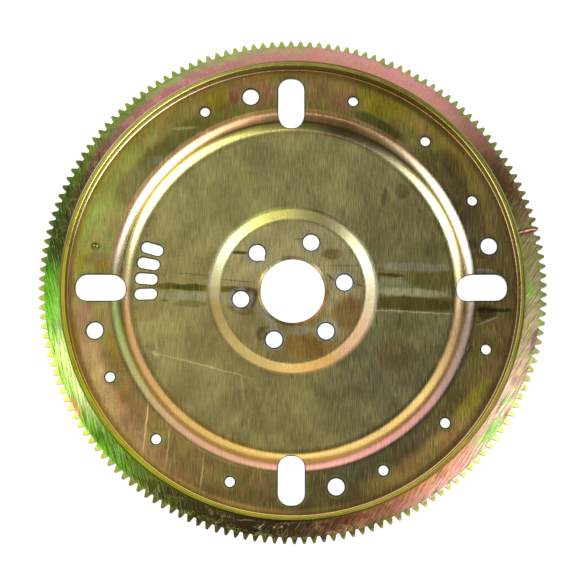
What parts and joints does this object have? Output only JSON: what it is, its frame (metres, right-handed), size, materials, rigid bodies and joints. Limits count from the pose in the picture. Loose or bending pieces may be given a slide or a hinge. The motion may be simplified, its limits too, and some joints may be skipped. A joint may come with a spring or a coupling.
{
  "type": "flexplate",
  "caption": "Dished pressed-steel drive plate with an upturned rim and an external ring gear, drilled to bolt between an engine's crankshaft and a torque converter.",
  "frame": {"origin": "centre of the crankshaft seat, in the plane of the pad's back face, which is also the lowest plane", "axes": "+Z along the shaft axis towards the torque converter, +X through one access window, +Y through the next, both as they lie in the picture (right and up)"},
  "size_m": [0.3626, 0.3626, 0.0258],
  "materials": {
    "plate_zinc": "pressed steel, yellow zinc plated, olive gold with a faint rainbow and straight brush marks",
    "gear_zinc": "ground and hobbed steel, yellow zinc plated, gold to green and pink",
    "weld_zinc": "rippled weld, yellow zinc plated"
  },
  "bodies": {
    "root": {"drive_plate": "plate_zinc", "ring_gear": "gear_zinc", "ring_weld_beads": "weld_zinc"}
  },
  "joints": []
}
